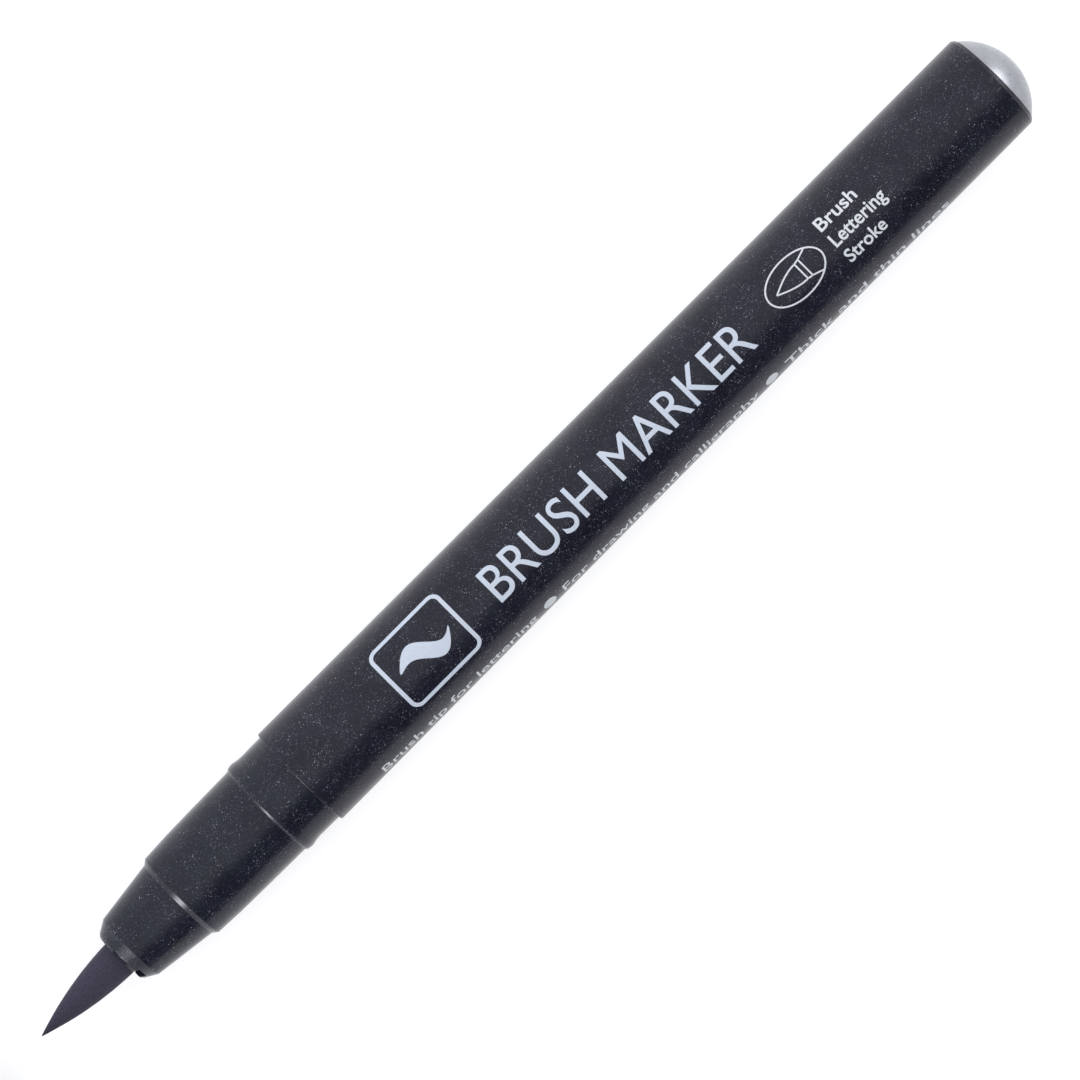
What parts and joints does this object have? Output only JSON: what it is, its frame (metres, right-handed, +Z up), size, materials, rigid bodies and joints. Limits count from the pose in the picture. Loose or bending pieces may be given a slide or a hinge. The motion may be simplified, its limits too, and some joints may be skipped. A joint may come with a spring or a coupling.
{
  "type": "brush-tip calligraphy marker",
  "caption": "Round-barrelled brush marker for calligraphy with a pointed flexible nib, tapered front section, domed tail plug and a clipped pull-off cap lying ahead of the nib.",
  "frame": {"origin": "centre of the bottom of the overall box, on the surface that the pen and its cap lie on", "axes": "+X along the pen from the nib towards the tail, +Z up, away from the surface; the printed side faces +Z"},
  "size_m": [0.1826, 0.0144, 0.0127],
  "materials": {
    "barrel_plastic": "satin charcoal with fine pearl flecks, pale grey-blue printing",
    "section_plastic": "satin charcoal with fine pearl flecks",
    "cap_plastic": "satin charcoal with fine pearl flecks",
    "nib_fibre": "matt ink-stained synthetic fibre",
    "core_fibre": "ink-soaked bonded fibre",
    "clear_film": "thin clear film",
    "ink_colour_plastic": "pearly silver grey, the ink's colour",
    "seal_plastic": "natural soft plastic"
  },
  "bodies": {
    "pen": {"barrel": "barrel_plastic", "front_section": "section_plastic", "ink_reservoir": "core_fibre", "reservoir_film": "clear_film", "tail_plug": "ink_colour_plastic"},
    "brush": {"brush_nib": "nib_fibre"},
    "cap": {"cap_shell": "cap_plastic", "cap_inner_seal": "seal_plastic", "cap_end_plug": "ink_colour_plastic"}
  },
  "joints": [
    {"name": "cap_slide", "type": "slide", "parent": "pen", "child": "cap", "axis": [1, 0, 0], "range_m": [0, 0.04322]},
    {"name": "brush_flex", "type": "hinge", "parent": "pen", "child": "brush", "pos_m": [-0.03097, 0.00087, 0.00635], "axis": [0, 0, 1], "range_deg": [-15, 15], "stiffness_Nm_per_rad": 0.02, "deforming": ["brush_nib"]}
  ]
}
